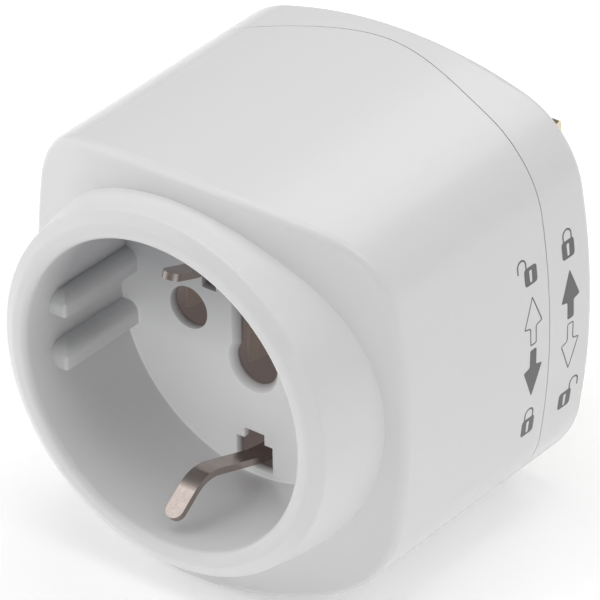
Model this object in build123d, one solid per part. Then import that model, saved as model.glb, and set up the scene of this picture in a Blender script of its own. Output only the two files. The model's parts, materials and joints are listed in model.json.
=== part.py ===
"""Universal travel adapter with an exchangeable rear plug module, in millimetres.

The row origin is the centre of the wall face. +Y points into the wall, +Z is up and +X is to the
right for someone who faces the socket. Depths are counted from the socket's rim plane towards the
wall, so a depth d lies at y = d - BODY_DEPTH.
"""

import os

from build123d import *

# ---------------------------------------------------------------- driving dimensions
BODY_DEPTH = 51.6  # socket rim to wall face
HALF_SIZE = 27.4  # half width and half height of the housing, at mid side
SIDE_SAG = 4.4  # bulge of the left and right sides over their full height
TOP_SAG = 6.5  # bulge of the top and the bottom over their full width
CORNER_R = 12.4
WALL = 2.0
REACH = 40.0  # half length of cutters that pass right through the housing

# The joint surfaces are prismatic along Z: their depths at these distances from the centre plane
KNOTS = (0.0, 8.2, 16.5, 23.3, 30.0)
FACE = (4.6, 5.1, 7.1, 9.9, 11.6)  # domed front face
TRACK = (43.9, 42.5, 40.2, 39.0, 38.7)  # surface that the plug module slides on
SEAM_BEHIND_FACE = 10.15
FACE_EDGE_R = 1.3
LIP = (0.9, 2.0)  # thickness and length of the lip that centres the two housing shells

# Socket
RIM_R = 19.9
FLOOR_R = 19.6
FLOOR_DEPTH = 17.6
FLOOR_REAR = 18.9
CUP_OUTER_R = 21.2
COLLAR_OUTLINE = ((23.5, 1.1), (24.45, 7.0), (25.1, 12.6))  # radius and depth of the outer wall
COLLAR_SHOULDER = 1.8  # the rim slopes back over this width
RIM_ROUNDING = (0.9, 1.2, 0.5)  # radii of the cup's edge, the start of the slope and the lip
COLLAR_SKIN = 1.7
COLLAR_GAP = 0.08
POST_GAP = 0.15
PIN_X = 9.5  # round-pin spacing is 19 mm
PIN_HOLE_R = 2.8
SLOT_X = 6.35  # flat-blade spacing is 12.7 mm
SLOT_Z = 7.45
SLOT_SIZE = (2.1, 7.6)
KEYHOLE_Z = -4.4
KEYHOLE_R = 2.95
KEYHOLE_SLOT_HALF = 2.4
KEYHOLE_TOP_Z = 5.0
LEAD_IN = (0.7, 0.9)  # width and depth of the keyhole's sloping edge
RIB_INNER_X = 17.15
RIB_BANDS = ((2.2, 5.0), (-5.0, -2.2))
RIB_FRONT_DEPTH = 4.3
RIB_TOP_R = 1.4
RIB_FRONT_R = 1.7
RIB_CORNER_R = 0.5

# Earth clips: depth and distance from the centre of the face that touches the plug
CLIP_WIDTH = 2.4
CLIP_THICKNESS = 0.9
CLIP_ROOT = ((17.6, 16.7), (20.4, 17.2), (23.1, 17.2))
CLIP_TIP = {"top": ((2.3, 14.95), (7.9, 13.0)), "bottom": ((1.9, 17.15), (7.2, 13.35))}
CLIP_BEND_R = 5.0
CLIP_PIVOT_Z = 17.65
CLIP_OPENING = ((3.0, 13.6, 15.2), (5.4, 15.0, 18.65))  # width and height range of each step

# Contact leaves stand along Z. Each is given by its distance from the centre plane at its root, its
# neck and its mouth, then by its height range
LEAF_ROOT_LENGTH = 5.0
LEAF_NECK_DEPTH = 24.0
LEAF_FRONT = 20.8
LEAF_BEND_R = 1.2
POLE_LEAVES = (
    (5.3, 5.55, 5.3, 3.6, 11.4),
    (7.4, 7.7, 7.0, -2.6, 2.6),
    (7.9, 7.4, 8.1, 3.6, 11.4),
    (12.3, 11.6, 12.4, -2.6, 2.6),
)
EARTH_LEAF = (3.1, 2.5, 3.2, KEYHOLE_Z - 2.4, KEYHOLE_Z + 2.4)

# Contacts inside the housing
STRIP = 0.6
CONTACT_BASE = 33.0
POLE_BASE = ((4.9, 12.6), (-12.6, 11.6))  # range of x and range of z
SLOT_WINDOW = (2.4, 8.0)  # way for a blade through the parts behind the floor
BRIDGE_BASE = 34.0
BRIDGE_WIDTH = 7.0
BRIDGE_WINDOW = (5.6, 15.0, 0.6)  # width, height and middle height of the opening for earth pins
BRIDGE_LEG = (CLIP_WIDTH + 0.8, 23.5)  # width and front depth
CARRIER_HALF_X = 14.2
CARRIER_HALF_Z = 20.6
CARRIER_WALL = 1.3
CARRIER_FRONT = 19.1
CARRIER_PLATE = (35.2, 36.6)
CHANNEL_WALL_X = 4.4  # insulating walls between the earth channel and the poles
POST_X = 10.7
POST_Z = 15.8
POST_R = 2.1
RIVET_R = 0.9
RIVET_FLANGE = (1.4, 0.35)
WIPER_BASE_WIDTH = 3.4
WIPER_RIVET_MARGIN = 1.9
WIPER_PLAY = 0.3  # space between a prong and each arm of its wiper

# Screws
SCREW_XZ = 19.4
SCREW_R = 1.1
SCREW_HEAD_R = 2.1
SCREW_HEAD_H = 1.5
SCREW_BOSS_R = 3.2
SCREW_CLEARANCE = 0.15
CROSS_SIZE = (2.4, 0.5, 0.9)

# Sliding lock between the housing and the plug module
SLIDE = 8.0
TRACK_GAP = 0.3
HOOK_X = 21.0
HOOK_Z = (11.5, -4.5)
HOOK_STEM = (2.0, 3.2)
HOOK_HEAD = (4.6, 3.2)
HOOK_HEAD_DEPTH = (34.9, 36.5)
HOOK_CLEARANCE = 0.4
PRONG_X = 6.6
PRONG_Z = -10.5
EARTH_PRONG_Z = 9.0
PRONG_SIZE = (1.0, 5.0)
PRONG_TIP = 38.4
DETENT_WIDTH = 4.0
DETENT_Z = -17.0
DETENT_THICKNESS = 0.5
DETENT_STAKE = (0.9, -9.0)  # radius and height of the moulded stake that holds the spring
DETENT_GROOVE_DEPTH = 0.8

# Plug module
MODULE_REAR = 47.6
MODULE_WALL = 1.6
REAR_EDGE_R = 1.2
BASE_THICKNESS = 1.4
BASE_FIT = 0.1
BOSS_HALF = 15.0
BOSS_Z = -1.5
BOSS_CORNER_R = 6.0
BLADE_X = 6.35
BLADE_Z = 3.9
BLADE_SIZE = (1.5, 6.35)
BLADE_TIP = BODY_DEPTH + 18.1
BLADE_HOLE_R = 1.6
BLADE_HOLE_FROM_TIP = 6.4
BLADE_CORNER_R = 1.2
BLADE_TAPER = (0.45, 1.4)  # thinning on each side and the length over which it happens
EARTH_PIN_Z = BLADE_Z - 11.9
EARTH_PIN_R = 2.38
EARTH_ROOT_R = 2.9
EARTH_ROOT_RECESS = 0.1  # how far the thicker root stays behind the wall face
PIN_DOME_R = 1.6
EARTH_PIN_TIP = BODY_DEPTH + 21.4
PIN_CLEARANCE = 0.1
LINK_FRONT = 46.0
LINK_WIDTH = 3.0
PIN_ROOT = LINK_FRONT + STRIP
HOLDER_DEPTHS = (46.7, 49.9)
MODULE_SCREW_XZ = 17.6
MODULE_SCREW_SEAT = 42.5
MODULE_POST_R = 2.6
MODULE_POST_FRONT = 43.7


# ---------------------------------------------------------------- shape helpers
def at(depth):
    """Sketch plane at a depth: local x is +X, local y is +Z, and its normal faces the user."""
    return Plane(origin=(0, depth - BODY_DEPTH, 0), x_dir=(1, 0, 0), z_dir=(0, -1, 0))


def prism(sketch, front, rear):
    """Extrude an XZ sketch between two depths."""
    return extrude(at(rear) * sketch, amount=rear - front)


def block(size, front, rear, x=0.0, z=0.0):
    return prism(Pos(x, z) * Rectangle(*size), front, rear)


def rod(radius, front, rear, x=0.0, z=0.0):
    return prism(Pos(x, z) * Circle(radius), front, rear)


def shifted(profile, distance):
    return tuple(depth + distance for depth in profile)


def profile_edge(profile):
    """Joint profile mirrored about the centre plane, from left to right."""
    left = [(-x, depth) for x, depth in zip(KNOTS, profile)][:0:-1]
    points = left + list(zip(KNOTS, profile))
    return Spline(*[(x, depth - BODY_DEPTH) for x, depth in points])


def depth_edge(depth):
    return Line((-KNOTS[-1], depth - BODY_DEPTH), (KNOTS[-1], depth - BODY_DEPTH))


def layer(front, rear):
    """Space between two edges that run across the adapter, over its full height."""
    ends = [Line(front @ end, rear @ end) for end in (0, 1)]
    return extrude(Pos(0, 0, -REACH) * make_face([front, rear, *ends]), amount=2 * REACH)


def section(inset=0.0):
    """Square housing section with bulging sides and large corner radii."""
    side_r = (HALF_SIZE**2 + SIDE_SAG**2) / (2 * SIDE_SAG)
    top_r = (HALF_SIZE**2 + TOP_SAG**2) / (2 * TOP_SAG)
    face = Rectangle(3 * HALF_SIZE, 3 * HALF_SIZE)
    for angle in (0, 180):
        face &= Rot(0, 0, angle) * Pos(side_r - HALF_SIZE, 0) * Circle(side_r - inset)
        face &= Rot(0, 0, angle) * Pos(0, top_r - HALF_SIZE) * Circle(top_r - inset)
    return fillet(face.vertices(), CORNER_R - inset)


def shell_layer(inset, front, rear):
    """Full housing section, set in from the outside, between two joint edges."""
    return prism(section(inset), 0.0, MODULE_REAR + REACH) & layer(front, rear)


def corners(x, z):
    return [(sx * x, sz * z) for sx in (-1, 1) for sz in (-1, 1)]


def screw(x, z, seat, tip):
    """Pan-head screw along Y, whose head bears on the seat on the side away from its tip."""
    away = 1 if seat > tip else -1
    top = seat + away * SCREW_HEAD_H
    length, width, recess = CROSS_SIZE
    cross = Pos(x, z) * (Rectangle(length, width) + Rectangle(width, length))
    shank = rod(SCREW_R, min(seat, tip), max(seat, tip), x, z)
    head = rod(SCREW_HEAD_R, min(seat, top), max(seat, top), x, z)
    floor = top - away * recess
    return shank + head - prism(cross, min(floor, top), max(floor, top))


def screw_set(distance_x, distance_z, seat, tip):
    """Four alike screws as one group of separate solids."""
    return Compound(children=[screw(x, z, seat, tip) for x, z in corners(distance_x, distance_z)])


def rivet(x, z, front, rear):
    """Rivet through two strips, with a flange at each end."""
    flange_r, flange = RIVET_FLANGE
    body = rod(RIVET_R, front - flange, rear + flange, x, z)
    for start in (front - flange, rear):
        body += rod(flange_r, start, start + flange, x, z)
    return body


def strip(points, width, thickness, bend_r):
    """Metal strip bent about X: its centre line is given in depth and height."""
    line = FilletPolyline(*[(depth, z) for depth, z in points], radius=bend_r)
    outline = trace(line, thickness)
    side_plane = Plane(origin=(-width / 2, -BODY_DEPTH, 0), x_dir=(0, 1, 0), z_dir=(1, 0, 0))
    return extrude(side_plane * outline, amount=width)


def leaf(shape, base, side=1):
    """Contact leaf that stands along Z, narrowed at its neck and flared at its mouth."""
    root_x, neck_x, mouth_x, low_z, high_z = shape
    root_depth = base + STRIP / 2
    points = [(root_x, root_depth), (root_x, root_depth - LEAF_ROOT_LENGTH)]
    points += [(neck_x, LEAF_NECK_DEPTH), (mouth_x, LEAF_FRONT)]
    path = [(side * x, depth - BODY_DEPTH) for x, depth in points]
    line = FilletPolyline(*path, radius=LEAF_BEND_R)
    return extrude(Pos(0, 0, low_z) * trace(line, STRIP), amount=high_z - low_z)


# ---------------------------------------------------------------- housing shells
def front_cover():
    """Domed front shell with a round opening for the socket collar."""
    seam = shifted(FACE, SEAM_BEHIND_FACE)
    body = shell_layer(0.0, profile_edge(FACE), profile_edge(seam))
    body = fillet(body.faces().sort_by(Axis.Y)[0].edges(), FACE_EDGE_R)
    inner_face = shifted(FACE, WALL)
    hollow = shell_layer(WALL, profile_edge(inner_face), depth_edge(MODULE_REAR))
    body -= hollow
    for x, z in corners(SCREW_XZ, SCREW_XZ):
        post = rod(SCREW_BOSS_R, FLOOR_DEPTH - 5.0, REACH, x, z)
        body += post & shell_layer(WALL / 2, profile_edge(inner_face), profile_edge(seam))
        body -= rod(SCREW_R, FLOOR_DEPTH - 4.0, REACH, x, z)
    return body - collar_space()


def collar_space():
    """Conical opening for the collar, continued as a straight way in from behind."""
    outline = [(radius + COLLAR_GAP, depth - BODY_DEPTH) for radius, depth in COLLAR_OUTLINE]
    front_r, rear_r = outline[0][0], outline[-1][0]
    front_y, rear_y = -BODY_DEPTH, MODULE_REAR - BODY_DEPTH
    points = [(0, front_y), (front_r, front_y), *outline, (rear_r, rear_y), (0, rear_y)]
    return revolve(make_face(Polyline(*points, close=True)), Axis.Y)


def housing_screw_seat():
    """Depth of the face that a housing screw's head bears on."""
    return TRACK[2] - 3.4


def main_housing():
    """Rear shell: side walls, screw tubes and the curved wall that the module slides on."""
    seam = profile_edge(shifted(FACE, SEAM_BEHIND_FACE))
    body = shell_layer(0.0, seam, profile_edge(TRACK))
    body -= shell_layer(WALL, depth_edge(0.0), profile_edge(shifted(TRACK, -WALL)))
    lip_thickness, lip_length = LIP
    lip_front = profile_edge(shifted(FACE, SEAM_BEHIND_FACE - lip_length))
    lip_rear = profile_edge(shifted(FACE, SEAM_BEHIND_FACE + lip_length))
    inner = WALL + BASE_FIT
    lip = shell_layer(inner, lip_front, lip_rear)
    lip -= shell_layer(inner + lip_thickness, lip_front, lip_rear)
    root = shell_layer(WALL / 2, seam, lip_rear)
    root -= shell_layer(inner + lip_thickness, seam, lip_rear)
    body += lip + root
    seat = housing_screw_seat()
    tube_space = shell_layer(WALL / 2, seam, profile_edge(TRACK))
    for x, z in corners(SCREW_XZ, SCREW_XZ):
        body -= rod(SCREW_BOSS_R + POST_GAP, 0.0, FACE[3] + SEAM_BEHIND_FACE + 0.2, x, z)
        body += rod(SCREW_BOSS_R, 0.0, REACH, x, z) & tube_space
        body -= rod(SCREW_R + SCREW_CLEARANCE, 0.0, REACH, x, z)
        body -= rod(SCREW_HEAD_R + SCREW_CLEARANCE, seat, MODULE_REAR, x, z)
    for x, z, width, height in lock_slots():
        body -= block((width, height), CARRIER_PLATE[1], MODULE_REAR, x, z)
    body -= block((DETENT_WIDTH + 0.4, 12.4), CARRIER_PLATE[1], MODULE_REAR, 0, DETENT_Z)
    stake_r, stake_z = DETENT_STAKE
    return body + rod(stake_r, TRACK[0] - WALL - 1.1, TRACK[0] - WALL + 0.1, 0, stake_z)


def lock_slots():
    """Openings in the track wall: x, z, width and height of each rectangle."""
    slots = []
    for side in (-1, 1):
        for z in HOOK_Z:
            stem_height = HOOK_STEM[1] + SLIDE + 2 * HOOK_CLEARANCE
            slots.append((side * HOOK_X, z - SLIDE / 2, HOOK_STEM[0] + 2 * HOOK_CLEARANCE, stem_height))
            entry = [size + 2 * HOOK_CLEARANCE for size in HOOK_HEAD]
            slots.append((side * HOOK_X, z - SLIDE, *entry))
    for x, z in ((-PRONG_X, PRONG_Z), (PRONG_X, PRONG_Z), (0.0, EARTH_PRONG_Z)):
        height = PRONG_SIZE[1] + SLIDE + 2 * HOOK_CLEARANCE
        slots.append((x, z - SLIDE / 2, PRONG_SIZE[0] + 2 * HOOK_CLEARANCE, height))
    return slots


# ---------------------------------------------------------------- socket
def floor_openings():
    """Cutters for the pin holes, blade slots, keyhole and stepped clip openings in the floor."""
    front = FLOOR_DEPTH - 1.0
    rear = FLOOR_REAR + 1.0
    cutters = [rod(PIN_HOLE_R, front, rear, side * PIN_X) for side in (-1, 1)]
    cutters += [block(SLOT_SIZE, front, rear, side * SLOT_X, SLOT_Z) for side in (-1, 1)]
    for sign in (-1, 1):
        for width, low, high in CLIP_OPENING:
            size = (width, high - low)
            cutters.append(block(size, front, rear, 0, sign * (low + high) / 2))
    return cutters


def keyhole_sketch():
    """Round hole for an earth pin, with a slot above it for centre pins."""
    slot_height = KEYHOLE_TOP_Z - KEYHOLE_Z
    slot = Pos(0, (KEYHOLE_TOP_Z + KEYHOLE_Z) / 2) * Rectangle(2 * KEYHOLE_SLOT_HALF, slot_height)
    top = Pos(0, KEYHOLE_TOP_Z) * Circle(KEYHOLE_SLOT_HALF)
    return Pos(0, KEYHOLE_Z) * Circle(KEYHOLE_R) + slot + top


def guide_rib(side, low_z, high_z):
    """Rib on the cup wall that keeps a plug from turning, rounded along its top and its front."""
    width = RIM_R + 0.6 - RIB_INNER_X
    height = high_z - low_z
    length = FLOOR_DEPTH + 0.5 - RIB_FRONT_DEPTH
    across = rounded_rectangle(width, height, -1, 1, RIB_TOP_R)
    along = rounded_rectangle(length, height, -1, 1, RIB_FRONT_R)
    above = rounded_rectangle(width, length, -1, -1, RIB_CORNER_R)
    rib = extrude(Plane.XZ.offset(-length / 2) * across, amount=length)
    rib &= extrude(Plane.YZ.offset(-width / 2) * along, amount=width)
    rib &= extrude(Plane.XY.offset(-height / 2) * above, amount=height)
    middle_y = RIB_FRONT_DEPTH + length / 2 - BODY_DEPTH
    rib = Pos(RIB_INNER_X + width / 2, middle_y, (low_z + high_z) / 2) * rib
    if side < 0:
        rib = mirror(rib, Plane.YZ)
    return rib & rod(RIM_R + 0.5, 0.0, REACH)


def rounded_rectangle(width, height, side, level, radius):
    """Centred rectangle with one rounded corner: side and level are its signs in x and y."""
    shape = Rectangle(width, height)
    corner = shape.vertices().sort_by_distance((side * width / 2, level * height / 2, 0))[0]
    return fillet(corner, radius)


def socket_insert():
    """Collar, cup, guide ribs and floor of the socket, moulded as one piece."""
    lip_r, lip_depth = COLLAR_OUTLINE[0]
    rear_r, rear_depth = COLLAR_OUTLINE[-1]
    shoulder_r = lip_r - COLLAR_SHOULDER
    outline = Polyline(
        (0, FLOOR_DEPTH),
        (FLOOR_R, FLOOR_DEPTH),
        (RIM_R, 0),
        (shoulder_r, 0),
        *COLLAR_OUTLINE,
        (rear_r - COLLAR_SKIN, rear_depth),
        (rear_r - COLLAR_SKIN - 1.0, 3.4),
        (CUP_OUTER_R + 0.2, 3.4),
        (CUP_OUTER_R, FLOOR_REAR),
        (0, FLOOR_REAR),
        close=True,
    )
    half = make_face(Pos(0, -BODY_DEPTH) * outline)
    corners_rd = ((RIM_R, 0.0), (shoulder_r, 0.0), (lip_r, lip_depth))
    for (radius, depth), rounding in zip(corners_rd, RIM_ROUNDING):
        corner = half.vertices().sort_by_distance((radius, depth - BODY_DEPTH, 0))[0]
        half = fillet(corner, rounding)
    body = revolve(half, Axis.Y)
    for side in (-1, 1):
        for low_z, high_z in RIB_BANDS:
            body += guide_rib(side, low_z, high_z)
    for x, z in corners(POST_X, POST_Z):
        body += rod(POST_R, FLOOR_REAR - 0.5, CARRIER_PLATE[0], x, z)
        body -= rod(SCREW_R, CARRIER_PLATE[0] - 6.0, REACH, x, z)
    for cutter in floor_openings():
        body -= cutter
    keyhole = keyhole_sketch()
    body -= prism(keyhole, FLOOR_DEPTH - 1.0, FLOOR_REAR + 1.0)
    width, depth = LEAD_IN
    wide = at(FLOOR_DEPTH - 0.01) * offset(keyhole, width)
    return body - loft([wide, at(FLOOR_DEPTH + depth) * keyhole])


def earth_clip(place):
    """Sprung earth clip, bent outwards at its tip so that a plug pushes it aside."""
    half = CLIP_THICKNESS / 2
    points = [(depth, z + half) for depth, z in CLIP_TIP[place] + CLIP_ROOT]
    clip = strip(points, CLIP_WIDTH, CLIP_THICKNESS, CLIP_BEND_R)
    tip = clip.faces().sort_by(Axis.Y)[0]
    corner_edges = [edge for edge in tip.edges() if edge.length < CLIP_WIDTH - 0.1]
    clip = fillet(corner_edges, CLIP_WIDTH / 2 - 0.05)
    return clip if place == "top" else mirror(clip, Plane.XY)


# ---------------------------------------------------------------- contacts in the housing
def pole_contact(side):
    """Brass contact with a pair of leaves for a round pin and a pair for a flat blade."""
    (low_x, high_x), (low_z, high_z) = POLE_BASE
    middle = ((low_x + high_x) / 2, (low_z + high_z) / 2)
    size = (high_x - low_x, high_z - low_z)
    contact = block(size, CONTACT_BASE, CONTACT_BASE + STRIP, *middle)
    contact -= rod(PIN_HOLE_R, CONTACT_BASE - 1, CONTACT_BASE + 2, PIN_X)
    contact -= block(SLOT_WINDOW, CONTACT_BASE - 1, CONTACT_BASE + 2, SLOT_X, SLOT_Z)
    for shape in POLE_LEAVES:
        contact += leaf(shape, CONTACT_BASE)
    contact -= rod(RIVET_R, CONTACT_BASE - 1, CONTACT_BASE + 2, PRONG_X, wiper_rivet_z(PRONG_Z))
    return contact if side > 0 else mirror(contact, Plane.YZ)


def earth_bridge():
    """Strip that joins both earth clips to the centre earth contact."""
    rear = BRIDGE_BASE + STRIP
    leg_z = CLIP_PIVOT_Z
    bridge = block((BRIDGE_WIDTH, 2 * leg_z + STRIP), BRIDGE_BASE, rear)
    window_width, window_height, window_z = BRIDGE_WINDOW
    bridge -= block((window_width, window_height), BRIDGE_BASE - 1, rear + 1, 0, window_z)
    leg_width, leg_front = BRIDGE_LEG
    for sign in (-1, 1):
        bridge += block((leg_width, STRIP), leg_front, rear, 0, sign * leg_z)
        bridge += leaf(EARTH_LEAF, BRIDGE_BASE, sign)
    return bridge - rod(RIVET_R, BRIDGE_BASE - 1, rear + 1, 0, wiper_rivet_z(EARTH_PRONG_Z))


def wiper(x, z):
    """Forked spring that a module prong slides in, riveted to the carrier's rear face."""
    front = CARRIER_PLATE[1]
    height = PRONG_SIZE[1] + SLIDE
    centre_z = z - SLIDE / 2
    rivet_z = wiper_rivet_z(z)
    base_low = min(rivet_z - WIPER_RIVET_MARGIN, centre_z - height / 2)
    base_high = max(rivet_z + WIPER_RIVET_MARGIN, centre_z + height / 2)
    size = (WIPER_BASE_WIDTH, base_high - base_low)
    base = block(size, front, front + STRIP, x, (base_low + base_high) / 2)
    offset_x = PRONG_SIZE[0] / 2 + WIPER_PLAY + STRIP / 2
    for sign in (-1, 1):
        base += block((STRIP, height), front, PRONG_TIP + 1.4, x + sign * offset_x, centre_z)
    return base - rod(RIVET_R, front - 1, front + 2, x, rivet_z)


def wiper_rivet_z(prong_z):
    """Each wiper is riveted just above the space that its prong slides in."""
    return prong_z + PRONG_SIZE[1] / 2 + 2.1


def contact_rivets():
    """Three rivets that carry the current through the carrier to the wipers."""
    rear = CARRIER_PLATE[1] + STRIP
    rivets = [rivet(x, wiper_rivet_z(z), CONTACT_BASE, rear) for x, z in wiper_places()[:2]]
    rivets.append(rivet(0.0, wiper_rivet_z(EARTH_PRONG_Z), BRIDGE_BASE, rear))
    return Compound(children=rivets)


def latch_spring():
    """Leaf spring whose bump gives the sliding lock its click."""
    top = TRACK[0]
    foot = top - WALL - DETENT_THICKNESS
    path = [(foot, -7.4), (foot, -11.4), (top - 1.0, -14.6), (top, DETENT_Z)]
    path += [(top - 1.3, -20.0), (top - 1.5, -22.4)]
    spring = strip(path, DETENT_WIDTH, DETENT_THICKNESS, 1.0)
    stake_r, stake_z = DETENT_STAKE
    return spring - rod(stake_r + 0.05, 0.0, MODULE_REAR, 0, stake_z)


def contact_carrier():
    """Insulating tray behind the socket floor that keeps the three contacts apart."""
    size = (2 * CARRIER_HALF_X, 2 * CARRIER_HALF_Z)
    outer = prism(fillet(Rectangle(*size).vertices(), 2.0), CARRIER_FRONT, CARRIER_PLATE[1])
    inside = (size[0] - 2 * CARRIER_WALL, size[1] - 2 * CARRIER_WALL)
    body = outer - block(inside, CARRIER_FRONT - 1, CARRIER_PLATE[0])
    for side in (-1, 1):
        body += block((1.0, inside[1] + 1), CARRIER_FRONT, CARRIER_PLATE[1], side * CHANNEL_WALL_X)
        body -= rod(PIN_HOLE_R, CARRIER_FRONT, REACH, side * PIN_X)
        body -= block(SLOT_WINDOW, CARRIER_FRONT, REACH, side * SLOT_X, SLOT_Z)
        window = (CLIP_WIDTH + 1.6, 3 * CARRIER_WALL)
        body -= block(window, CARRIER_FRONT - 1, 31.0, 0, side * CARRIER_HALF_Z)
    body -= rod(KEYHOLE_R, CARRIER_FRONT, REACH, 0, KEYHOLE_Z)
    for x, z in corners(POST_X, POST_Z):
        body -= rod(SCREW_R + SCREW_CLEARANCE, CARRIER_PLATE[0] - 1, REACH, x, z)
    for x, z in wiper_places():
        body -= rod(RIVET_R + 0.05, CARRIER_PLATE[0] - 1, REACH, x, wiper_rivet_z(z))
    return body


def wiper_places():
    return ((-PRONG_X, PRONG_Z), (PRONG_X, PRONG_Z), (0.0, EARTH_PRONG_Z))


# ---------------------------------------------------------------- plug module
def boss_sketch(inset=0.0):
    half = BOSS_HALF - inset
    square = Rectangle(2 * half, 2 * half)
    return Pos(0, BOSS_Z) * fillet(square.vertices(), BOSS_CORNER_R - inset)


def module_cover():
    """Shell of the plug module, with a raised boss that reaches the wall."""
    track = profile_edge(shifted(TRACK, TRACK_GAP))
    body = shell_layer(0.0, track, depth_edge(MODULE_REAR))
    body = fillet(body.faces().sort_by(Axis.Y)[-1].edges(), REAR_EDGE_R)
    boss = prism(boss_sketch(), MODULE_REAR - 1.0, BODY_DEPTH)
    boss = fillet(boss.faces().sort_by(Axis.Y)[-1].edges(), 0.8)
    body += boss
    body -= shell_layer(WALL, depth_edge(0.0), depth_edge(MODULE_REAR - MODULE_WALL))
    body -= prism(boss_sketch(MODULE_WALL), MODULE_REAR - 2.0, BODY_DEPTH - MODULE_WALL)
    for x, z in corners(MODULE_SCREW_XZ, MODULE_SCREW_XZ):
        body += rod(MODULE_POST_R, MODULE_POST_FRONT, MODULE_REAR - 1.0, x, z)
        body -= rod(SCREW_R, MODULE_POST_FRONT - 1.0, MODULE_REAR - 0.8, x, z)
    for sketch in pin_sketches(PIN_CLEARANCE):
        body -= prism(sketch, MODULE_REAR, BODY_DEPTH + 1.0)
    return body


def pin_sketches(clearance):
    """Sections of the roots of the two blades and the earth pin, grown by a clearance."""
    size = [side + 2 * clearance for side in BLADE_SIZE]
    blades = [Pos(side * BLADE_X, BLADE_Z) * Rectangle(*size) for side in (-1, 1)]
    return blades + [Pos(0, EARTH_PIN_Z) * Circle(EARTH_ROOT_R + clearance)]


def module_base():
    """Front plate of the module, with the hooks that hold it to the housing."""
    front = profile_edge(shifted(TRACK, TRACK_GAP))
    rear = profile_edge(shifted(TRACK, TRACK_GAP + BASE_THICKNESS))
    body = shell_layer(WALL + BASE_FIT, front, rear)
    for side in (-1, 1):
        for z in HOOK_Z:
            head_front, head_rear = HOOK_HEAD_DEPTH
            body += block(HOOK_HEAD, head_front, head_rear, side * HOOK_X, z)
            body += block(HOOK_STEM, head_rear - 0.1, TRACK[3] + TRACK_GAP + 1.0, side * HOOK_X, z)
    for x, z in wiper_places():
        body -= block([side + 0.1 for side in PRONG_SIZE], PRONG_TIP, MODULE_REAR, x, z)
    for x, z in corners(MODULE_SCREW_XZ, MODULE_SCREW_XZ):
        seat = rod(MODULE_POST_R, PRONG_TIP, MODULE_POST_FRONT, x, z)
        body += seat & shell_layer(WALL + BASE_FIT, front, depth_edge(MODULE_REAR))
        body -= rod(SCREW_R + SCREW_CLEARANCE, 0.0, MODULE_REAR, x, z)
        body -= rod(SCREW_HEAD_R + SCREW_CLEARANCE, 0.0, MODULE_SCREW_SEAT, x, z)
    groove_front = TRACK[0] + TRACK_GAP
    groove_rear = groove_front + DETENT_GROOVE_DEPTH
    middle_z = DETENT_Z + SLIDE / 2
    body -= block((DETENT_WIDTH + 1.0, SLIDE + 4.4), PRONG_TIP, groove_rear, 0, middle_z)
    return body + block((DETENT_WIDTH + 1.2, 1.6), groove_front + 0.3, groove_rear + 0.1, 0, middle_z)


def flat_blade(side):
    """Flat plug blade with rounded corners and a thinned tip, and a detent hole near it."""
    half = BLADE_SIZE[0] / 2
    blade = block(BLADE_SIZE, PIN_ROOT, BLADE_TIP)
    tip = blade.faces().sort_by(Axis.Y)[-1]
    blade = fillet(tip.edges().filter_by(Axis.X), BLADE_CORNER_R)
    tip_y = BLADE_TIP - BODY_DEPTH
    thinning, length = BLADE_TAPER
    taper = [(half, -REACH), (half, tip_y - length), (half - thinning, tip_y)]
    outline = taper + [(-x, y) for x, y in reversed(taper)]
    blade &= extrude(Pos(0, 0, -REACH) * make_face(Polyline(*outline, close=True)), amount=2 * REACH)
    hole = Pos(0, tip_y - BLADE_HOLE_FROM_TIP, 0) * Rot(0, 90, 0) * Cylinder(BLADE_HOLE_R, 4 * half)
    return Pos(side * BLADE_X, 0, BLADE_Z) * (blade - hole)


def ground_pin():
    """Round earth pin with a thicker root that stays inside the module and a domed tip."""
    pin = rod(EARTH_PIN_R, PIN_ROOT, EARTH_PIN_TIP, 0, EARTH_PIN_Z)
    pin = fillet(pin.faces().sort_by(Axis.Y)[-1].edges(), PIN_DOME_R)
    return pin + rod(EARTH_ROOT_R, PIN_ROOT, BODY_DEPTH - EARTH_ROOT_RECESS, 0, EARTH_PIN_Z)


def blade_holder():
    """Insulating block inside the boss that the pins are pressed into."""
    body = prism(boss_sketch(MODULE_WALL + BASE_FIT), *HOLDER_DEPTHS)
    for side in (-1, 1):
        body -= block(BLADE_SIZE, 0.0, BODY_DEPTH, side * BLADE_X, BLADE_Z)
    return body - rod(EARTH_ROOT_R, 0.0, BODY_DEPTH, 0, EARTH_PIN_Z)


def link(prong_x, prong_z, pin_x, pin_z):
    """Brass link from a prong that enters the housing to the root of its pin."""
    prong = block(PRONG_SIZE, PRONG_TIP, LINK_FRONT + STRIP, prong_x, prong_z)
    tip_edges = prong.faces().sort_by(Axis.Y)[0].edges().filter_by(Axis.Z)
    prong = chamfer(tip_edges, 0.3)
    low_z = min(prong_z - PRONG_SIZE[1] / 2, pin_z - LINK_WIDTH / 2)
    high_z = max(prong_z + PRONG_SIZE[1] / 2, pin_z + LINK_WIDTH / 2)
    middle = ((prong_x + pin_x) / 2, (low_z + high_z) / 2)
    size = (LINK_WIDTH, high_z - low_z)
    return prong + block(size, LINK_FRONT, LINK_FRONT + STRIP, *middle)


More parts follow.
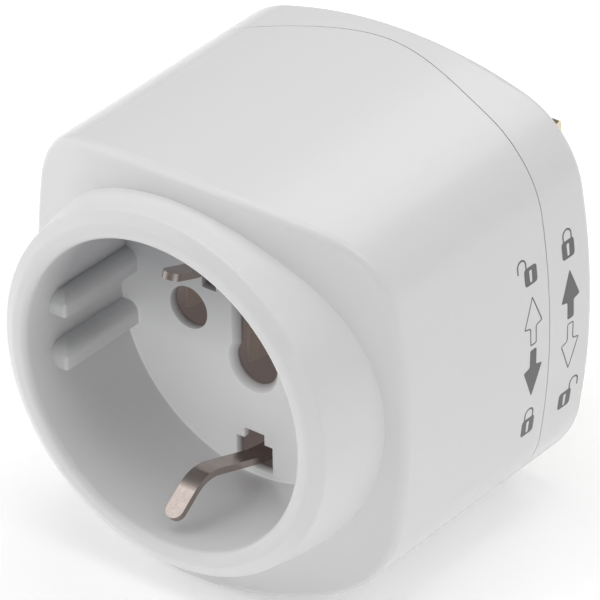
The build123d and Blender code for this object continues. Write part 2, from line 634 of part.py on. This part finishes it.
parts = {
    "front_cover": front_cover(),
    "main_housing": main_housing(),
    "socket_insert": socket_insert(),
    "earth_clip_top": earth_clip("top"),
    "earth_clip_bottom": earth_clip("bottom"),
    "contact_carrier": contact_carrier(),
    "live_contact": pole_contact(-1),
    "neutral_contact": pole_contact(1),
    "earth_bridge": earth_bridge(),
    "live_wiper": wiper(-PRONG_X, PRONG_Z),
    "neutral_wiper": wiper(PRONG_X, PRONG_Z),
    "earth_wiper": wiper(0.0, EARTH_PRONG_Z),
    "contact_rivets": contact_rivets(),
    "carrier_screws": screw_set(POST_X, POST_Z, CARRIER_PLATE[1], CARRIER_PLATE[0] - 5.5),
    "housing_screws": screw_set(SCREW_XZ, SCREW_XZ, housing_screw_seat(), FLOOR_DEPTH - 3.6),
    "latch_spring": latch_spring(),
    "module_cover": module_cover(),
    "module_base": module_base(),
    "blade_holder": blade_holder(),
    "live_blade": flat_blade(-1),
    "neutral_blade": flat_blade(1),
    "ground_pin": ground_pin(),
    "live_link": link(-PRONG_X, PRONG_Z, -BLADE_X, BLADE_Z),
    "neutral_link": link(PRONG_X, PRONG_Z, BLADE_X, BLADE_Z),
    "earth_link": link(0.0, EARTH_PRONG_Z, 0.0, EARTH_PIN_Z),
    "module_screws": screw_set(MODULE_SCREW_XZ, MODULE_SCREW_XZ, MODULE_SCREW_SEAT, MODULE_REAR - 1.0),
}

os.makedirs("parts", exist_ok=True)
for name, solid in parts.items():
    export_step(solid, f"parts/{name}.step")
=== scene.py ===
"""Looks of a universal travel adapter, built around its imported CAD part."""

import json
import math

import bmesh
import bpy
from mathutils import Matrix, Vector
from mathutils.bvhtree import BVHTree
from mathutils.geometry import tessellate_polygon
from mathutils.interpolate import poly_3d_calc

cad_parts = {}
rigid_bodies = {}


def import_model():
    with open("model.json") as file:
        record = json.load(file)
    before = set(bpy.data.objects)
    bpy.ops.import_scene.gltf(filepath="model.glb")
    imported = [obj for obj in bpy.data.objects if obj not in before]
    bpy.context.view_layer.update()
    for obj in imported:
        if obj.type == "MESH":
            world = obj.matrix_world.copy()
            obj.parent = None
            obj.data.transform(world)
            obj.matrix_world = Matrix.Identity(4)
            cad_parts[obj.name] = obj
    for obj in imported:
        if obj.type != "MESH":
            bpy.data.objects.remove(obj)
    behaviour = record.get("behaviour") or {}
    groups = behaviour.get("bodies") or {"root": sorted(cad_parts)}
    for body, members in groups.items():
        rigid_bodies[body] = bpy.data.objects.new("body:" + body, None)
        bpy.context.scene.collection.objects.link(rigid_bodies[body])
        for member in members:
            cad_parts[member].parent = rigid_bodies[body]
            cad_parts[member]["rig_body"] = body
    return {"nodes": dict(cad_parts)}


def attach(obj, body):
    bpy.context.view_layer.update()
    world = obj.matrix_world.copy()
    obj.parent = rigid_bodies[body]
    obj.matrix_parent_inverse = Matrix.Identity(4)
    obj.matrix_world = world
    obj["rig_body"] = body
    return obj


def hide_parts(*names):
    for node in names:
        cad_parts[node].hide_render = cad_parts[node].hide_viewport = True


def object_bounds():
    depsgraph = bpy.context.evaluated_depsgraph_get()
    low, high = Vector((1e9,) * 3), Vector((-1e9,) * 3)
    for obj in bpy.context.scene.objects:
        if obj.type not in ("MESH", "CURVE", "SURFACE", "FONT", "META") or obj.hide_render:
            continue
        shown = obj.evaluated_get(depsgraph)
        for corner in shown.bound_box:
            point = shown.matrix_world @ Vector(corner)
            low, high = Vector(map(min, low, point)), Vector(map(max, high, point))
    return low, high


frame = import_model()
CAD_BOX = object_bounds()

MM = 0.001
BODY_DEPTH = 51.6  # depth of the wall face behind the socket's rim plane, in millimetres
HALF_SIZE = 27.4
SIDE_R = 87.5  # radius of the bulging left and right sides


def place(x, depth, z):
    """Row-frame point in metres, from millimetres and a depth behind the rim plane."""
    return Vector((x, depth - BODY_DEPTH, z)) * MM


# ---------------------------------------------------------------- node helpers
def new_material(name):
    material = bpy.data.materials.new(name)
    material.use_nodes = True
    tree = material.node_tree
    return material, tree, tree.nodes["Principled BSDF"]


def add(tree, kind, **settings):
    """New shader node. Settings that name a socket set its value, and the others its properties."""
    node = tree.nodes.new(kind)
    for key, value in settings.items():
        socket = node.inputs.get(key.replace("_", " "))
        if socket is None:
            setattr(node, key, value)
        else:
            socket.default_value = value
    return node


def noise(tree, scale, detail=4.0, stretch=(1, 1, 1)):
    """Noise over the piece's own coordinates, scale in features per metre."""
    coordinates = add(tree, "ShaderNodeTexCoord")
    mapping = add(tree, "ShaderNodeMapping")
    mapping.inputs["Scale"].default_value = stretch
    tree.links.new(coordinates.outputs["Object"], mapping.inputs["Vector"])
    node = add(tree, "ShaderNodeTexNoise", Scale=scale, Detail=detail, Roughness=NOISE_ROUGHNESS)
    tree.links.new(mapping.outputs["Vector"], node.inputs["Vector"])
    return node.outputs["Fac"]


def blend(tree, factor, low, high):
    """Colour between two others, by a 0-1 factor."""
    node = add(tree, "ShaderNodeMix", data_type="RGBA")
    tree.links.new(factor, node.inputs[0])
    node.inputs[6].default_value = (*low, 1.0)
    node.inputs[7].default_value = (*high, 1.0)
    return node.outputs[2]


def spread(tree, factor, low, high):
    """Map a 0-1 factor to a range."""
    node = add(tree, "ShaderNodeMapRange", To_Min=low, To_Max=high)
    tree.links.new(factor, node.inputs["Value"])
    return node.outputs["Result"]


def bump(tree, shader, height, strength, distance):
    """Small relief from a height."""
    node = add(tree, "ShaderNodeBump", Strength=strength, Distance=distance)
    tree.links.new(height, node.inputs["Height"])
    tree.links.new(node.outputs["Normal"], shader.inputs["Normal"])


def give_glow(shader, colour):
    shader.inputs["Emission Color"].default_value = (*colour, 1.0)
    shader.inputs["Emission Strength"].default_value = 1.0


def plastic(name, colour, rough, grain=0.01, glow=None):
    """Moulded plastic with faint flow marks and a fine skin texture."""
    material, tree, shader = new_material(name)
    dark = tuple(FLOW_MARK * channel for channel in colour)
    flow = noise(tree, FLOW_SCALE, detail=1, stretch=(1, 0.35, 1))
    tint = blend(tree, flow, dark, colour)
    tree.links.new(tint, shader.inputs["Base Color"])
    shader.inputs["Roughness"].default_value = rough
    bump(tree, shader, noise(tree, SKIN_SCALE, detail=2), grain, SKIN_RELIEF)
    shader.inputs["Specular IOR Level"].default_value = 0.5
    if glow:
        give_glow(shader, glow)
    return material, tree, shader, tint


def zone(tree, value, start, end):
    """Factor that rises from 0 to 1 as a value passes from one level to another."""
    node = add(tree, "ShaderNodeMapRange", From_Min=start, From_Max=end)
    tree.links.new(value, node.inputs["Value"])
    return node.outputs["Result"]


def depth_zone(tree, value, start, end):
    """Zone between two depths behind the rim plane, in millimetres."""
    return zone(tree, value, place(0, start, 0).y, place(0, end, 0).y)


def product(tree, first, second):
    """Factor that is the product of two others."""
    node = add(tree, "ShaderNodeMath", operation="MULTIPLY")
    tree.links.new(first, node.inputs[0])
    tree.links.new(second, node.inputs[1])
    return node.outputs["Value"]


def shaded(tree, tint, factor, shade):
    """Tint multiplied by a shade where a factor is 1."""
    mix = add(tree, "ShaderNodeMix", data_type="RGBA", blend_type="MULTIPLY")
    tree.links.new(factor, mix.inputs[0])
    tree.links.new(tint, mix.inputs[6])
    mix.inputs[7].default_value = (*shade, 1.0)
    return mix.outputs[2]


def metal(name, colour, rough, stretch, glow=None):
    """Rolled metal strip with fine lines along its length and a patchy film."""
    material, tree, shader = new_material(name)
    dull = tuple(TARNISH * channel for channel in colour)
    tint = blend(tree, noise(tree, FILM_SCALE, detail=4), dull, colour)
    tree.links.new(tint, shader.inputs["Base Color"])
    lines = noise(tree, LINE_SCALE, detail=3, stretch=stretch)
    gloss = spread(tree, lines, rough - GLOSS_BELOW, rough + GLOSS_ABOVE)
    tree.links.new(gloss, shader.inputs["Roughness"])
    bump(tree, shader, lines, LINE_STRENGTH, LINE_RELIEF)
    shader.inputs["Metallic"].default_value = 1.0
    if glow:
        give_glow(shader, glow)
    return material


def socket_plastic():
    """White plastic of the socket, with painted shade and painted glow in its cup.

    The cup's inner sides carry a painted shade that makes them dimmer than the outside but for their
    lowest part. The thin floor carries a painted glow that grows towards the bottom, and the sides of
    its openings get a warm painted shade that deepens with depth.
    """
    material, tree, shader, tint = plastic("socket_plastic", WHITE, 0.3)
    coordinates = add(tree, "ShaderNodeTexCoord")
    split = add(tree, "ShaderNodeSeparateXYZ")
    tree.links.new(coordinates.outputs["Object"], split.inputs["Vector"])
    height = split.outputs["Z"]
    flat = add(tree, "ShaderNodeVectorMath", operation="MULTIPLY")
    flat.inputs[1].default_value = (1.0, 0.0, 1.0)
    tree.links.new(coordinates.outputs["Object"], flat.inputs[0])
    radius = add(tree, "ShaderNodeVectorMath", operation="LENGTH")
    tree.links.new(flat.outputs["Vector"], radius.inputs[0])
    depth = split.outputs["Y"]
    inside = zone(tree, radius.outputs["Value"], CUP_EDGE_OUTER * MM, CUP_EDGE_INNER * MM)
    # Mask of the painted shade on the cup's inner sides: none at 0.8 mm deep, full from 7 mm deep,
    # full at the top and fading out towards the bottom
    cup_shade_mask = product(tree, inside, depth_zone(tree, depth, SHADE_START, SHADE_END))
    cup_shade_mask = product(tree, cup_shade_mask, zone(tree, height, SHADE_LOW * MM, SHADE_HIGH * MM))
    # Mask of a warm painted shade that deepens behind the floor, on the sides of its openings
    opening = depth_zone(tree, depth, FLOOR_DEPTH + FLOOR_SKIN, FLOOR_REAR)
    tint = shaded(tree, tint, cup_shade_mask, CUP_PAINTED_SHADE)
    tint = shaded(tree, tint, opening, OPENING_PAINTED_SHADE)
    tree.links.new(tint, shader.inputs["Base Color"])
    # Painted glow on the socket floor, rising towards the bottom
    reaches_floor = depth_zone(tree, depth, FLOOR_DEPTH - GLOW_START, FLOOR_DEPTH)
    before_openings = depth_zone(tree, depth, FLOOR_REAR, FLOOR_DEPTH + FLOOR_SKIN)
    glow = product(tree, inside, product(tree, reaches_floor, before_openings))
    glow = product(tree, glow, zone(tree, height, GLOW_HEIGHT * MM, -GLOW_HEIGHT * MM))
    tree.links.new(spread(tree, glow, 0.0, FLOOR_PAINTED_GLOW), shader.inputs["Emission Strength"])
    shader.inputs["Emission Color"].default_value = (1.0, 1.0, 1.0, 1.0)
    return material


# Texture scales are in features per metre, and reliefs in metres
NOISE_ROUGHNESS = 0.55
FLOW_MARK, FLOW_SCALE = 0.985, 60
SKIN_SCALE, SKIN_RELIEF = 1500, 0.00003
TARNISH, FILM_SCALE = 0.8, 420
LINE_SCALE, LINE_RELIEF, LINE_STRENGTH = 2600, 0.00004, 0.05
GLOSS_BELOW, GLOSS_ABOVE = 0.08, 0.12

WHITE = (0.84, 0.84, 0.842)
# The socket: radii, depths and heights in millimetres
CUP_EDGE_OUTER, CUP_EDGE_INNER = 20.6, 20.3
FLOOR_DEPTH, FLOOR_REAR, FLOOR_SKIN = 17.6, 18.9, 0.05
SHADE_START, SHADE_END = 0.8, 7.0
SHADE_LOW, SHADE_HIGH = -18.0, 6.0
GLOW_START, GLOW_HEIGHT = 0.2, 5.0
# Colour that the painted shade of the cup's inner sides multiplies by
CUP_PAINTED_SHADE = (0.7, 0.705, 0.715)
# Colour of the warm painted shade behind the socket floor
OPENING_PAINTED_SHADE = (0.42, 0.36, 0.345)
# Strength of the painted glow on the socket floor
FLOOR_PAINTED_GLOW = 0.19
# Painted light: a weak warm glow on the carrier and the brass strips, which fills the spaces behind
# the socket floor
PAINTED_WARM_GLOW = (0.068, 0.056, 0.053)
MATERIALS = {
    "housing": plastic("housing_plastic", WHITE, 0.27)[0],
    "module": plastic("module_plastic", WHITE, 0.27)[0],
    "cup": socket_plastic(),
    # The carrier and the brass strips carry the painted warm glow
    "carrier": plastic("carrier_plastic", (0.38, 0.35, 0.34), 0.5, grain=0.05, glow=PAINTED_WARM_GLOW)[0],
    "nickel": metal("nickel_strip", (0.46, 0.40, 0.37), 0.2, (1, 0.06, 1)),
    "brass": metal("brass_strip", (0.60, 0.56, 0.47), 0.3, (1, 0.08, 1), glow=PAINTED_WARM_GLOW),
    "steel": metal("zinc_steel", (0.58, 0.59, 0.61), 0.32, (1, 1, 1)),
    "pins": metal("brass_pins", (0.78, 0.66, 0.44), 0.22, (1, 0.1, 1)),
    "ink": plastic("printed_ink", (0.155, 0.155, 0.157), 0.45)[0],
}


# ---------------------------------------------------------------- pieces from CAD nodes
def welded_copy(node):
    """Bmesh of a CAD node with its faces joined along shared edges and coplanar triangles merged."""
    mesh = bmesh.new()
    mesh.from_mesh(frame["nodes"][node].data)
    bmesh.ops.remove_doubles(mesh, verts=mesh.verts, dist=WELD_DISTANCE)
    bmesh.ops.dissolve_limit(mesh, angle_limit=FLAT_ANGLE, verts=mesh.verts, edges=mesh.edges)
    return mesh


def surface_normals(data, node):
    """Shading normals of the CAD surface wherever a mesh still lies on it, for each face corner."""
    source = frame["nodes"][node].data
    source.calc_loop_triangles()
    points = [vertex.co.copy() for vertex in source.vertices]
    triangles = [tuple(triangle.vertices) for triangle in source.loop_triangles]
    loops = [tuple(triangle.loops) for triangle in source.loop_triangles]
    given = [corner.vector.copy() for corner in source.corner_normals]
    tree = BVHTree.FromPolygons(points, triangles)
    normals = []
    for polygon in data.polygons:
        for index in polygon.loop_indices:
            vertex = data.vertices[data.loops[index].vertex_index]
            inward = polygon.center - vertex.co
            probe = vertex.co + inward * min(NUDGE_LIMIT, NUDGE / max(inward.length, NUDGE))
            hit, _, found, distance = tree.find_nearest(probe)
            normal = vertex.normal
            if distance < ON_SURFACE:
                weights = poly_3d_calc([points[i] for i in triangles[found]], hit)
                normal = sum((given[i] * w for i, w in zip(loops[found], weights)), Vector())
            normals.append(normal.normalized())
    return normals


# The probe is nudged into its face by this length in metres, but by no more than this share of the way
NUDGE, NUDGE_LIMIT = 2e-6, 0.2
ON_SURFACE = 1.5e-6  # farthest from the CAD surface, in metres, that a corner still counts as on it
WELD_DISTANCE = 2e-7
FLAT_ANGLE, SHARP_ANGLE = math.radians(0.02), math.radians(28.0)


def refined(node, material, bevel, reshape=None):
    """Visual piece that stands for a CAD node: the same shape with its sharp edges rounded."""
    mesh = welded_copy(node)
    bmesh.ops.recalc_face_normals(mesh, faces=mesh.faces)
    rough = bpy.data.meshes.new("rough")
    mesh.to_mesh(rough)
    mesh.free()
    piece = bpy.data.objects.new(f"{node}_look", rough)
    bpy.context.scene.collection.objects.link(piece)
    edges = piece.modifiers.new("edges", "BEVEL")
    edges.width = bevel * MM
    edges.segments = 3
    edges.limit_method = "ANGLE"
    edges.angle_limit = SHARP_ANGLE
    edges.use_clamp_overlap = True
    edges.miter_outer = "MITER_ARC"
    evaluated = piece.evaluated_get(bpy.context.evaluated_depsgraph_get())
    data = bpy.data.meshes.new_from_object(evaluated)
    data.name = piece.name
    piece.modifiers.clear()
    piece.data = data
    bpy.data.meshes.remove(rough)
    data.shade_smooth()
    normals = surface_normals(data, node)
    if reshape:
        reshape(data)
    data.normals_split_custom_set(normals)
    data.materials.append(MATERIALS[material])
    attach(piece, frame["nodes"][node]["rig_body"])
    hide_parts(node)
    return piece


TRACK_SIDE_END = 46.0  # depth that all points of the module's front edge lie before
GAP_CLOSING = 0.16
COLLAR_REACH = 25.3  # radius that only the opening of the front cover lies within
COLLAR_CLOSING = 0.09


def close_track_gap(data):
    """Bring the module's front edge closer to the housing, leaving a hairline gap."""
    for vertex in data.vertices:
        if vertex.co.y < (TRACK_SIDE_END - BODY_DEPTH) * MM:
            vertex.co.y -= GAP_CLOSING * MM


def close_collar_gap(data):
    """Draw the opening of the front cover in until it meets the collar."""
    for vertex in data.vertices:
        radius = math.hypot(vertex.co.x, vertex.co.z)
        if radius < COLLAR_REACH * MM:
            drawn = (radius - COLLAR_CLOSING * MM) / radius
            vertex.co.x *= drawn
            vertex.co.z *= drawn


RESHAPES = {"module_cover": close_track_gap, "front_cover": close_collar_gap}


# node: material and edge rounding in millimetres
LOOKS = {
    "front_cover": ("housing", 0.15),
    "main_housing": ("housing", 0.12),
    "socket_insert": ("cup", 0.15),
    "earth_clip_top": ("nickel", 0.12),
    "earth_clip_bottom": ("nickel", 0.12),
    "contact_carrier": ("carrier", 0.1),
    "live_contact": ("brass", 0.05),
    "neutral_contact": ("brass", 0.05),
    "earth_bridge": ("brass", 0.05),
    "live_wiper": ("brass", 0.05),
    "neutral_wiper": ("brass", 0.05),
    "earth_wiper": ("brass", 0.05),
    "contact_rivets": ("brass", 0.08),
    "carrier_screws": ("steel", 0.12),
    "housing_screws": ("steel", 0.12),
    "module_screws": ("steel", 0.12),
    "latch_spring": ("steel", 0.05),
    "module_cover": ("module", 0.08),
    "module_base": ("module", 0.15),
    "blade_holder": ("carrier", 0.12),
    "live_blade": ("pins", 0.1),
    "neutral_blade": ("pins", 0.1),
    "ground_pin": ("pins", 0.1),
    "live_link": ("brass", 0.06),
    "neutral_link": ("brass", 0.06),
    "earth_link": ("brass", 0.06),
}
for node, (material, bevel) in LOOKS.items():
    piece = refined(node, material, bevel, reshape=RESHAPES.get(node))


# ---------------------------------------------------------------- printed marks
INK_PROUD, INK_ROOT = 0.012, -0.03  # the ink's face and root, in millimetres over the side
INK_STEP = 0.6  # the print is divided at this spacing so that it follows the bulge of the side
COLUMNS = {"housing": 35.55, "module": 42.9}  # depth of each column of marks
EASE_STEPS = 3
EASE_SHARE = 0.45
ARC_STEPS = 16


def side_x(z):
    """Distance of the bulging side from the centre plane."""
    return HALF_SIZE - SIDE_R + math.sqrt(SIDE_R**2 - z**2)


def eased(corners, radius):
    """Polygon with its corners rounded."""
    points = []
    for i, corner in enumerate(corners):
        corner = Vector(corner)
        before = Vector(corners[i - 1]) - corner
        after = Vector(corners[(i + 1) % len(corners)]) - corner
        reach = min(radius, EASE_SHARE * before.length, EASE_SHARE * after.length)
        start = corner + before.normalized() * reach
        end = corner + after.normalized() * reach
        for step in range(EASE_STEPS + 1):
            t = step / EASE_STEPS
            points.append((1 - t) ** 2 * start + 2 * t * (1 - t) * corner + t**2 * end)
    return points


def inset(points, distance):
    """Polygon moved inwards by a distance. Its points run anticlockwise."""
    moved = []
    for i, point in enumerate(points):
        back = (point - points[i - 1]).normalized()
        ahead = (points[(i + 1) % len(points)] - point).normalized()
        sides = Vector((-back.y, back.x)) + Vector((-ahead.y, ahead.x))
        moved.append(point + sides * distance / (1 + back.dot(ahead)))
    return moved


def arrow(up):
    """Arrow of the sliding lock, about the middle of the two arrows of its column."""
    half = [(0.62, 0.3), (0.62, 2.65), (1.8, 2.9), (0.0, 6.9)]
    right = half[:-1]
    left = [(-x, z) for x, z in reversed(right)]
    outline = right + [half[-1]] + left
    if not up:
        outline = [(-x, -z) for x, z in outline]
    return eased(outline, 0.28)


def shackle(shift):
    """Bow of a padlock, moved sideways where the lock is open."""
    outer, inner, foot, rise = 0.9, 0.66, 2.2, 0.72
    loop = []
    for radius, order in ((outer, 1), (inner, -1)):
        angles = [math.pi * i / ARC_STEPS for i in range(ARC_STEPS + 1)]
        arc = [
            (shift + radius * math.cos(angle), foot + rise + radius * math.sin(angle))
            for angle in angles
        ]
        leg = [(shift + radius, foot), *arc, (shift - radius, foot)]
        loop += leg[::order]
    return [Vector(point) for point in loop]


def padlock(shift=0.0):
    """Loops of a padlock: its bow, its body and the keyhole in the body."""
    body = eased([(-1.2, 0.0), (1.2, 0.0), (1.2, 2.35), (-1.2, 2.35)], 0.5)
    keyhole = eased([(-0.2, 0.3), (0.2, 0.3), (0.28, 1.9), (-0.28, 1.9)], 0.3)
    return [[shackle(shift)], [body, keyhole]]


def printed(name, column, base_z, areas):
    """Thin layer of ink on the right side. Each area is an outline with the holes in it."""
    mesh = bmesh.new()
    for loops in areas:
        rings = [[mesh.verts.new((0, point.x, point.y)) for point in loop] for loop in loops]
        if len(rings) == 2 and len(rings[0]) == len(rings[1]):
            for i, corner in enumerate(rings[0]):
                mesh.faces.new([rings[0][i - 1], corner, rings[1][i], rings[1][i - 1]])
        else:
            flat = [[Vector((point.x, point.y, 0)) for point in loop] for loop in loops]
            corners = [corner for ring in rings for corner in ring]
            for triangle in tessellate_polygon(flat):
                mesh.faces.new([corners[i] for i in triangle])
    low = min(vertex.co.z for vertex in mesh.verts)
    high = max(vertex.co.z for vertex in mesh.verts)
    for i in range(1, math.ceil((high - low) / INK_STEP)):
        everything = mesh.verts[:] + mesh.edges[:] + mesh.faces[:]
        level = (0, 0, low + i * INK_STEP)
        bmesh.ops.bisect_plane(mesh, geom=everything, plane_co=level, plane_no=(0, 0, 1))
    raised = bmesh.ops.extrude_face_region(mesh, geom=mesh.faces[:])
    top = {item for item in raised["geom"] if isinstance(item, bmesh.types.BMVert)}
    for vertex in mesh.verts:
        z = base_z + vertex.co.z
        out = INK_PROUD if vertex in top else INK_ROOT
        vertex.co = place(side_x(z) + out, COLUMNS[column] + vertex.co.y, z)
    bmesh.ops.recalc_face_normals(mesh, faces=mesh.faces)
    data = bpy.data.meshes.new(name)
    mesh.to_mesh(data)
    mesh.free()
    data.materials.append(MATERIALS["ink"])
    piece = bpy.data.objects.new(name, data)
    bpy.context.scene.collection.objects.link(piece)
    node = "main_housing" if column == "housing" else "module_cover"
    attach(piece, frame["nodes"][node]["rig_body"])


ARROWS_Z = -0.65
UPPER_LOCK_Z, LOWER_LOCK_Z = 7.75, -13.1
OPEN_SHIFT = 1.55
OUTLINE = 0.17
for column, solid_up, opening in (("housing", False, -OPEN_SHIFT), ("module", True, OPEN_SHIFT)):
    upper, lower = (opening, 0.0) if column == "housing" else (0.0, opening)
    printed(f"upper_lock_{column}", column, UPPER_LOCK_Z, padlock(upper))
    printed(f"lower_lock_{column}", column, LOWER_LOCK_Z, padlock(lower))
    solid = arrow(solid_up)
    hollow = arrow(not solid_up)
    printed(f"solid_arrow_{column}", column, ARROWS_Z, [[solid]])
    printed(f"hollow_arrow_{column}", column, ARROWS_Z, [[hollow, inset(hollow, OUTLINE)]])


# ---------------------------------------------------------------- stage, light and camera
FLOOR_HALF = 3.0
PAPER_GLOW = 0.235


def floor():
    """Plain pale floor under the adapter, which glows a little."""
    low_z = CAD_BOX[0].z
    data = bpy.data.meshes.new("floor")
    signs = [(-1, -1), (1, -1), (1, 1), (-1, 1)]
    corners = [(FLOOR_HALF * x, FLOOR_HALF * y, low_z) for x, y in signs]
    data.from_pydata(corners, [], [(0, 1, 2, 3)])
    material, tree, shader = new_material("floor_paper")
    tint = blend(tree, noise(tree, 9), (0.93, 0.93, 0.93), (0.95, 0.95, 0.95))
    tree.links.new(tint, shader.inputs["Base Color"])
    shader.inputs["Roughness"].default_value = 0.9
    shader.inputs["Specular IOR Level"].default_value = 0.1
    shader.inputs["Emission Color"].default_value = (1.0, 1.0, 1.0, 1.0)
    shader.inputs["Emission Strength"].default_value = PAPER_GLOW
    data.materials.append(material)
    piece = bpy.data.objects.new("floor", data)
    bpy.context.scene.collection.objects.link(piece)


def area_light(name, location, target, size, watts):
    """White rectangular light that faces a target."""
    light = bpy.data.lights.new(name, "AREA")
    light.shape = "RECTANGLE"
    light.size, light.size_y = size
    light.energy = watts
    piece = bpy.data.objects.new(name, light)
    bpy.context.scene.collection.objects.link(piece)
    piece.location = location
    direction = Vector(target) - Vector(location)
    piece.rotation_euler = direction.to_track_quat("-Z", "Y").to_euler()


def world(strength):
    """Even white light from all around."""
    made = bpy.data.worlds.new("studio")
    made.use_nodes = True
    background = made.node_tree.nodes["Background"]
    background.inputs["Color"].default_value = (1.0, 1.0, 1.0, 1.0)
    background.inputs["Strength"].default_value = strength
    bpy.context.scene.world = made


AZIMUTH, ELEVATION, ROLL = 38.31, 31.81, 0.866  # degrees
DISTANCE, LENS = 731.3, 382.93  # millimetres
AIM_RIGHT, AIM_UP = 16.521, 11.052  # aim point beside and above the centre of the rim plane


def camera():
    """Long lens to the front right and above, with its image axes turned a little."""
    azimuth, elevation = math.radians(AZIMUTH), math.radians(ELEVATION)
    roll = math.radians(ROLL)
    right = Vector((math.cos(azimuth), math.sin(azimuth), 0))
    level = Vector((math.sin(azimuth), -math.cos(azimuth), 0))
    back = math.cos(elevation) * level + Vector((0, 0, math.sin(elevation)))
    up = back.cross(right)
    position = (AIM_RIGHT * right + AIM_UP * up + DISTANCE * back) * MM + place(0, 0, 0)
    local_x = math.cos(roll) * right - math.sin(roll) * up
    local_y = math.sin(roll) * right + math.cos(roll) * up
    turn = Matrix((local_x, local_y, back)).transposed().to_4x4()
    data = bpy.data.cameras.new("camera")
    data.sensor_width = 36.0
    data.lens = LENS
    data.clip_start, data.clip_end = 0.05, 20.0
    piece = bpy.data.objects.new("camera", data)
    piece.matrix_world = Matrix.Translation(position) @ turn
    bpy.context.scene.collection.objects.link(piece)
    bpy.context.scene.camera = piece


floor()
centre = (0, -0.026, 0)
area_light("above", (0.0, -0.03, 1.0), centre, (0.8, 0.8), 3.97)
area_light("key", (-0.5, -0.6, 0.75), centre, (0.6, 0.6), 1.89)
area_light("right", (0.75, 0.0, 0.8), centre, (0.6, 0.6), 2.07)
area_light("left", (-1.0, -0.25, 0.3), centre, (0.6, 0.8), 1.5)
area_light("front_left", (-0.75, -0.75, 0.3), centre, (0.6, 0.6), 0.69)
area_light("back", (0.0, 0.8, 0.8), centre, (0.8, 0.5), 1.91)
world(0.2)
camera()
bpy.context.scene.view_settings.view_transform = "Standard"
